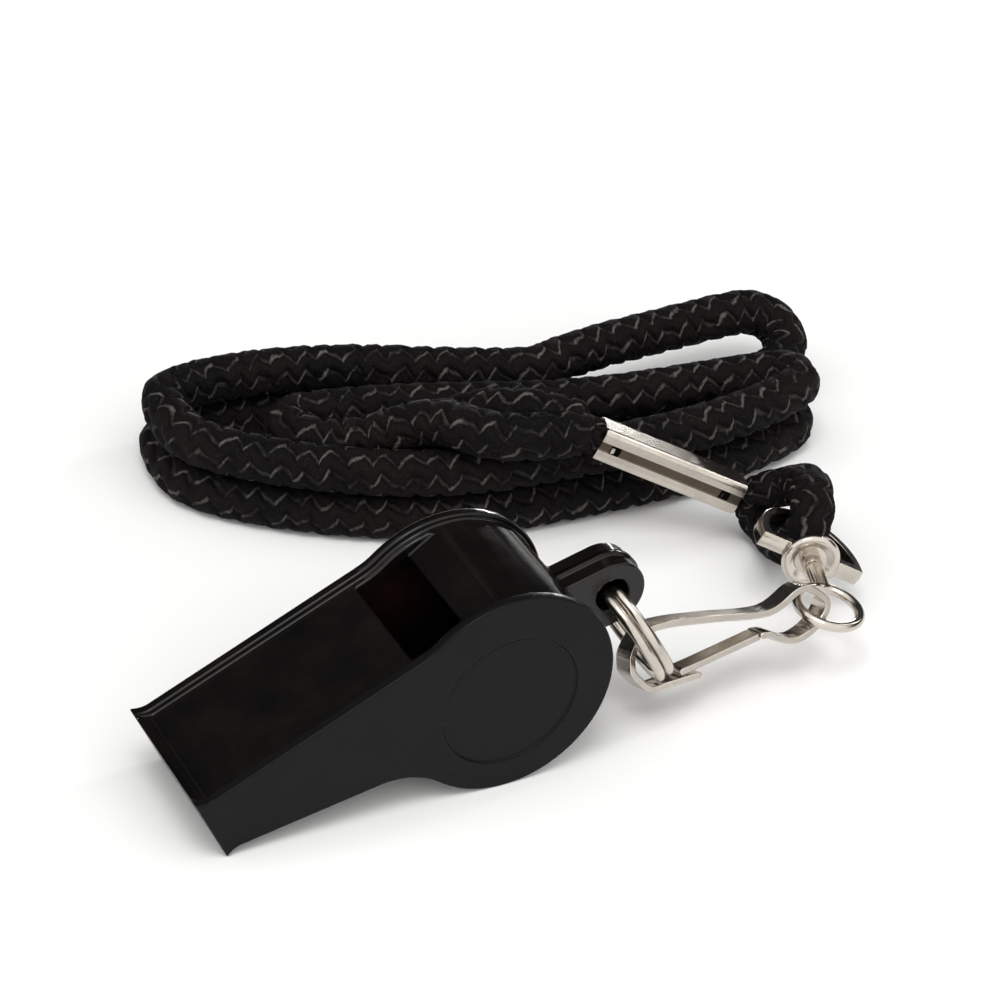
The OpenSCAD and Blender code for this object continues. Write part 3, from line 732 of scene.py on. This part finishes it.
BLACK_PLASTIC = plastic("black_plastic", colour=(0.0034, 0.003, 0.0031, 1),
                        warm=(0.0085, 0.0055, 0.0042, 1), rough=0.15, mottle=0.6, gloss=0.34)
COVER_PLASTIC = plastic("cover_plastic", colour=(0.0062, 0.0061, 0.0067, 1),
                        warm=(0.0088, 0.008, 0.0084, 1), rough=0.26, mottle=0.4, gloss=0.1)
NICKEL = nickel("nickel", tint=(0.63, 0.58, 0.52, 1), rough=0.11)
# Painted shade: a dark brown nickel for the floor of the sleeve's sunk seam strip, for its inside and for its notches'
# walls. The groove itself is real.
SEAM_SHADE = nickel("nickel_seam_shade", tint=(0.11, 0.085, 0.065, 1), rough=0.3)
SHEET = nickel("nickel_sheet", tint=(0.6, 0.55, 0.49, 1), rough=0.15)
# In the yarn, the pale colour is that of the painted glints on the threads and the painted sheen on the fuzz. The
# last, darkest colour is that of the painted shade in the creases.
BRAID = braid("braided_cord", colour=(0.0026, 0.0021, 0.0021, 1), warm=(0.0068, 0.0047, 0.0046, 1),
              light=(0.105, 0.096, 0.091, 1), crease_shade_colour=(0.0012, 0.001, 0.001, 1))
DARK_YARN = plastic("held_yarn", colour=(0.0025, 0.0022, 0.002, 1),
                    warm=(0.006, 0.005, 0.0045, 1), rough=0.8, mottle=0.6, gloss=0.05)
CORK = cork("cork", colour=(0.33, 0.09, 0.05, 1), dark=(0.14, 0.035, 0.02, 1))


# The solids that only get rounded edges and a material
WELD_WITHIN = 2e-6    # metres
FLAT_WITHIN = 0.4     # degrees between two faces that become one
ROUND_FROM = 32       # only edges sharper than this, in degrees, are rounded


def rounded(name, width, material, clamp=True):
    """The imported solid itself, with its edges rounded over width millimetres."""
    solid = frame["nodes"][name]
    solid.data.materials.clear()
    solid.data.materials.append(material)
    weld = solid.modifiers.new("weld", "WELD")
    weld.merge_threshold = WELD_WITHIN
    flat = solid.modifiers.new("flat", "DECIMATE")
    flat.decimate_type = "DISSOLVE"
    flat.angle_limit = math.radians(FLAT_WITHIN)
    if width:
        bevel = bevel_edges(solid, width, ROUND_FROM)
        bevel.use_clamp_overlap = clamp
        bevel.miter_outer = "MITER_ARC"


rounded("body_shell", 0.26, BLACK_PLASTIC, clamp=False)
rounded("side_cover", 0.2, COVER_PLASTIC, clamp=False)
rounded("pea", 0, CORK)
rounded("split_ring", 0, NICKEL)
rounded("hook_frame", 0.14, NICKEL)
rounded("hook_gate", 0.14, NICKEL)
rounded("swivel_ring", 0.08, NICKEL)


# The swivel's D-ring and cap. Y is the stem's axis, from the hook to the cord
SWIVEL_YAW = -19.2
SWIVEL_X = np.array([cos_d(SWIVEL_YAW), sin_d(SWIVEL_YAW), 0])
SWIVEL_Y = np.array([-sin_d(SWIVEL_YAW), cos_d(SWIVEL_YAW), 0])
SWIVEL_Z = np.array([0, 0, 1])
CAP_AT = np.array([47.8, 5.9, 7.9])
CAP_R = 3.5
CAP_H = 1.8
CAP_AROUND = 72
STEM_R = 1.2
STEM_GAP = 0.02

# Radius and height of the cap's section, from the hollow's floor over the rim to the back
CAP_SECTION = [
    (STEM_R + STEM_GAP, 0.75), (1.7, 0.72), (2.2, 0.5), (2.55, 0.15), (2.85, 0.0), (3.2, 0.02),
    (3.42, 0.2), (CAP_R, 0.5), (3.45, 0.8), (3.1, 1.25), (2.5, 1.6), (1.6, CAP_H),
    (STEM_R + STEM_GAP, CAP_H),
]

BAIL_ROLL = 26
BAIL_HALF = 6.5       # half the D's width
BAIL_FAR = 8.35       # how far the bow reaches from the cap's front
BAIL_T = 1.0
BAIL_W = 2.0
BAIL_FULL = 0.9       # 1 makes the bow half an ellipse, less makes it fuller
BAIL_STEPS = 40
FITTING_EDGE = 0.12
FITTING_EDGE_FROM = 50

# The strip's section in halves of its thickness and width: flat, with a low crown outside
STRIP_SECTION = (-1, -1), (1, -1), (1, -0.45), (1.18, 0), (1, 0.45), (1, 1), (-1, 1)


def d_ring():
    """A flat strip bent to a D: its straight base behind the cap, its bow round through the cord's bight."""
    across = SWIVEL_X * cos_d(BAIL_ROLL) - SWIVEL_Z * sin_d(BAIL_ROLL)
    broad = SWIVEL_X * sin_d(BAIL_ROLL) + SWIVEL_Z * cos_d(BAIL_ROLL)
    base = CAP_H - BAIL_T / 2
    path = [(BAIL_HALF * k, base) for k in (-1, -0.5, 0, 0.5)]
    for k in range(BAIL_STEPS):
        a = 180 * k / BAIL_STEPS
        path.append((BAIL_HALF * cos_d(a), base + (BAIL_FAR - base) * sin_d(a) ** BAIL_FULL))
    path = np.array(path)
    ahead = np.roll(path, -1, 0) - path
    ahead /= np.linalg.norm(ahead, axis=1)[:, None]
    side_ahead = np.stack([ahead[:, 1], -ahead[:, 0]], -1)
    mitre = side_ahead + np.roll(side_ahead, 1, 0)
    mitre /= np.sum(mitre * side_ahead, 1)[:, None]
    points = []
    for place, out in zip(path, mitre):
        for thick, wide in STRIP_SECTION:
            x, y = place + out * thick * BAIL_T / 2
            points.append(CAP_AT + across * x + SWIVEL_Y * y + broad * wide * BAIL_W / 2)
    faces = hoop_faces(len(path), len(STRIP_SECTION))
    return mesh_piece("d_ring", to_part(np.array(points)), faces, NICKEL)


def dished_cap():
    """The pressed cap, hollow round the stem on the ring's side and domed behind."""
    points = []
    for k in range(CAP_AROUND):
        a = 360 * k / CAP_AROUND
        side = SWIVEL_X * cos_d(a) + SWIVEL_Z * sin_d(a)
        points += [CAP_AT + side * r + SWIVEL_Y * y for r, y in CAP_SECTION]
    faces = hoop_faces(CAP_AROUND, len(CAP_SECTION), flip=True)
    return mesh_piece("dished_cap", to_part(np.array(points)), faces, NICKEL)


swivel_pieces = [frame["nodes"]["swivel_ring"], frame["nodes"]["hook_frame"], frame["nodes"]["hook_gate"]]
for make, node in ((d_ring, "swivel_bail"), (dished_cap, "swivel_cap")):
    piece = make()
    swivel_pieces.append(piece)
    bevel_edges(piece, FITTING_EDGE, FITTING_EDGE_FROM)
    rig.ride(piece, "bail")
    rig.replaces(piece, node)
    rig.slot(piece, "nickel")


# The crimped sleeve, in its own axes: x along it, y and z across it, with the seam on its -Y side
SEAM_HALF = 0.6
SEAM_DEEP = 0.22
CORNER_STEPS = 5
END_CHAMFER = 0.12
END_TAPER = 1.6
NOTCH_L = 1.3
NOTCH_STARTS = 1.5, SLEEVE_L - 2.9
NOTCH_ROWS = 2, 4     # the stretches between the stations below that are open
TAB_IN = 0.1          # from the notch's start to the tab
TAB_L = 0.5
SLEEVE_EDGE = 0.06
SLEEVE_EDGE_FROM = 40
HELD_GAP = 0.03       # between the held cord and the sheet
HELD_OUT = 0.1        # how far the held cord shows at the ends
SHEET_SLOT = 0
SEAM_SHADE_SLOT = 1

# A tab's corners: share of its length, depth under the sleeve's face, height
TAB_CORNERS = (0, 0.1, -0.5), (1, 0.25, -0.45), (1, 0.38, 0.15), (0, 0.15, 0.2)


def sleeve_point(x, y, z):
    across = y * cos_d(SLIM_ROLL) - z * sin_d(SLIM_ROLL)
    up = y * sin_d(SLIM_ROLL) + z * cos_d(SLIM_ROLL)
    return SLEEVE_AT + WAY * x + SLEEVE_ACROSS * across + SLEEVE_UP * up


def round_square(width, corner, seam, depth):
    """Points round a square with rounded corners and a strip, half of it seam wide, sunk in its -Y side."""
    h = width / 2
    points = [(-h, seam)]
    for cy, cz, start in ((-1, 1, 180), (1, 1, 90), (1, -1, 0), (-1, -1, -90)):
        for k in range(CORNER_STEPS + 1):
            a = start - 90 * k / CORNER_STEPS
            points.append((cy * (h - corner) + corner * cos_d(a), cz * (h - corner) + corner * sin_d(a)))
    points += [(-h, -seam), (-h + depth, -seam + depth / 3), (-h + depth, seam - depth / 3)]
    return np.array(points)


def sleeve_faces(rows, around):
    """The folded sheet's faces, each with its material: outside, inside, the notches' walls, the ends. The floor of
    the sunk seam strip, the inside and the notches' walls take the dark nickel of painted shade.
    """
    strip = around - 2
    inside = rows * around
    faces = []
    for i in range(rows - 1):
        for j in range(around):
            k = (j + 1) % around
            here = i * around
            there = here + around
            quad = [here + j, here + k, there + k, there + j]
            if j == strip and i in NOTCH_ROWS:
                for p, q in zip(quad, quad[1:] + quad[:1]):
                    faces.append(([p, q, q + inside, p + inside], SEAM_SHADE_SLOT))
                continue
            faces.append((quad, SEAM_SHADE_SLOT if j == strip else SHEET_SLOT))
            faces.append(([v + inside for v in reversed(quad)], SEAM_SHADE_SLOT))
    last = (rows - 1) * around
    for j in range(around):
        k = (j + 1) % around
        faces.append(([k, j, j + inside, k + inside], SHEET_SLOT))
        faces.append(([j + last, k + last, k + last + inside, j + last + inside], SHEET_SLOT))
    return faces


def slim_sleeve():
    """The folded sheet, with its seam strip, and a bent tab in each of the two punched notches."""
    cuts = [x for start in NOTCH_STARTS for x in (start, start + NOTCH_L)]
    stations = [0, END_CHAMFER, *cuts, SLEEVE_L - END_CHAMFER, SLEEVE_L]
    outer = round_square(SLIM_W, SLIM_ROUND, SEAM_HALF, SEAM_DEEP)
    inner = round_square(SLIM_W - 2 * SLIM_T, SLIM_ROUND - SLIM_T, SEAM_HALF, 0.0)
    tapered = outer * (1 - END_CHAMFER / SLIM_W * END_TAPER)
    layers = [tapered, *[outer] * (len(stations) - 2), tapered], [inner] * len(stations)
    points = [sleeve_point(x, *p) for layer in layers for x, ring in zip(stations, layer) for p in ring]
    faces = sleeve_faces(len(stations), len(outer))
    for start in NOTCH_STARTS:
        first = len(points)
        for share, depth, z in TAB_CORNERS:
            points.append(sleeve_point(start + TAB_IN + TAB_L * share, depth - SLIM_W / 2, z))
        faces.append(([first, first + 1, first + 2, first + 3], SHEET_SLOT))
    sleeve = mesh_piece("slim_sleeve", to_part(np.array(points)), [f for f, _ in faces], SHEET, smooth=False)
    # The second slot holds the dark nickel of painted shade.
    sleeve.data.materials.append(SEAM_SHADE)
    sleeve.data.polygons.foreach_set("material_index", [slot for _, slot in faces])
    bevel_edges(sleeve, SLEEVE_EDGE, SLEEVE_EDGE_FROM, segments=2, harden=False)
    return sleeve


def sleeve_fill():
    """The cord's flattened strands that the sleeve holds, seen at its ends and in the notches."""
    half = SLIM_W / 2 - SLIM_T - HELD_GAP
    corners = (-1, -1), (1, -1), (1, 1), (-1, 1)
    ends = -HELD_OUT, SLEEVE_L + HELD_OUT
    points = [sleeve_point(x, y * half, z * half) for x in ends for y, z in corners]
    faces = [(3, 2, 1, 0), (4, 5, 6, 7), (0, 1, 5, 4), (1, 2, 6, 5), (2, 3, 7, 6), (3, 0, 4, 7)]
    return mesh_piece("held_cord", to_part(np.array(points)), faces, DARK_YARN, smooth=False)


sleeve = slim_sleeve()
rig.ride(sleeve, "lanyard")
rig.replaces(sleeve, "crimp_sleeve")
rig.slot(sleeve, "nickel")
held = sleeve_fill()
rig.ride(held, "lanyard")
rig.replaces(held, "crimped_cord")
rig.slot(held, "cord")


# The cords. Both leave the sleeve flat and become round within a few points of the route
ROOT_IN = 0.1
ROOT_RISE_RATE = 2    # how much sooner the height is full than the width


def root_halves(blend_points, thin):
    """Half the cord's two widths at a place of its route, flat at both ends."""
    def halves(tag, count):
        k = ease((min(tag, count - 1 - tag) - ROOT_IN) / blend_points)
        return mix(ROOT_T / 2, CORD_D / 2 * thin, k), mix(ROOT_T, CORD_D / 2, ease(k * ROOT_RISE_RATE))
    return halves


route, flat = hank_route()
hank, hank_path, _ = braided_cord("braided_lanyard", route, (flat, flat), root_halves(2.5, thin=1.0),
                                  proud=0.3)
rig.ride(hank, "lanyard")
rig.replaces(hank, "lanyard_hank")
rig.slot(hank, "cord")

route, side = bight_route()
bight, bight_path, bight_l = braided_cord("braided_bight", route, (side, -side), root_halves(1.6, thin=0.88),
                                          proud=0.08)
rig.ride(bight, "lanyard")
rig.replaces(bight, "lanyard_bight")
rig.slot(bight, "cord")

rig.cord(hank, exit=hank_path[0], length=0.582, diameter=CORD_D * MM, far_end="object", stiffness="limp",
        lay="coiled", with_pieces=[sleeve, held], path=hank_path[::8])
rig.cord(bight, exit=bight_path[0], length=bight_l, diameter=CORD_D * MM, far_end="object", stiffness="limp",
        lay="loose", with_pieces=swivel_pieces, path=bight_path[::4])


# The floor, the sky and the lamps, in metres
FLOOR_HALF = 6.0
FLOOR_TONE = (0.72, 0.72, 0.72, 1)
WHITE = (1, 1, 1, 1)


def set_floor():
    """A floor that looks white, and lights the part from below as a light grey one does."""
    n = Nodes("floor")
    ray = n.add("LightPath").outputs
    mirrored = n.math("MAXIMUM", ray["Is Glossy Ray"], ray["Is Transmission Ray"])
    seen = n.math("MAXIMUM", ray["Is Camera Ray"], mirrored)
    n.set(Base_Color=n.blend(seen, FLOOR_TONE, WHITE), Roughness=0.9, Specular_IOR_Level=0.0)
    corners = [(x * FLOOR_HALF, y * FLOOR_HALF, 0) for x, y in ((-1, -1), (1, -1), (1, 1), (-1, 1))]
    floor = mesh_piece("floor", corners, [(0, 1, 2, 3)], n.material, smooth=False)
    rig.stage(floor)


# The studio: a large soft light on the front left side, and a dim room behind
SKY_FROM = (-0.45, -0.75, 0.75)
SKY_TONE = (1, 0.995, 0.98, 1)
SKY_GLOW = {"From Min": 0.05, "From Max": 0.6, "To Min": 0.03, "To Max": 1.25}
LAMPS_AIM = Vector((0.02, 0.03, 0.0))


def set_world():
    world = bpy.data.worlds.new("world")
    bpy.context.scene.world = world
    world.use_nodes = True
    tree = world.node_tree
    back = tree.nodes["Background"]
    way = tree.nodes.new("ShaderNodeTexCoord")
    toward = tree.nodes.new("ShaderNodeVectorMath")
    toward.operation = "DOT_PRODUCT"
    toward.inputs[1].default_value = unit(SKY_FROM)
    tree.links.new(way.outputs["Generated"], toward.inputs[0])
    glow = tree.nodes.new("ShaderNodeMapRange")
    glow.interpolation_type = "SMOOTHSTEP"
    for key, value in SKY_GLOW.items():
        glow.inputs[key].default_value = value
    tree.links.new(toward.outputs["Value"], glow.inputs["Value"])
    tree.links.new(glow.outputs["Result"], back.inputs["Strength"])
    back.inputs["Color"].default_value = SKY_TONE


def lamp(name, at, size, power):
    """A lamp with a rectangular face of the given sides, turned to the part."""
    data = bpy.data.lights.new(name, "AREA")
    data.shape = "RECTANGLE"
    data.size, data.size_y = size
    data.energy = power
    light = bpy.data.objects.new(name, data)
    bpy.context.scene.collection.objects.link(light)
    light.location = at
    light.rotation_euler = (LAMPS_AIM - Vector(at)).to_track_quat("-Z", "Y").to_euler()


set_floor()
set_world()
lamp("strip", at=(0.62, 0.78, 0.06), size=(0.3, 0.05), power=1.6)
lamp("right", at=(0.85, 0.1, 0.6), size=(0.08, 0.5), power=0.9)
lamp("top", at=(-0.25, -0.3, 1.0), size=(0.4, 0.4), power=3.0)

bpy.context.scene.view_settings.view_transform = "Standard"

with open("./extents.json", "w") as out:
    json.dump({"cad": cad_box, "visual": [list(v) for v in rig.bounds()]}, out)
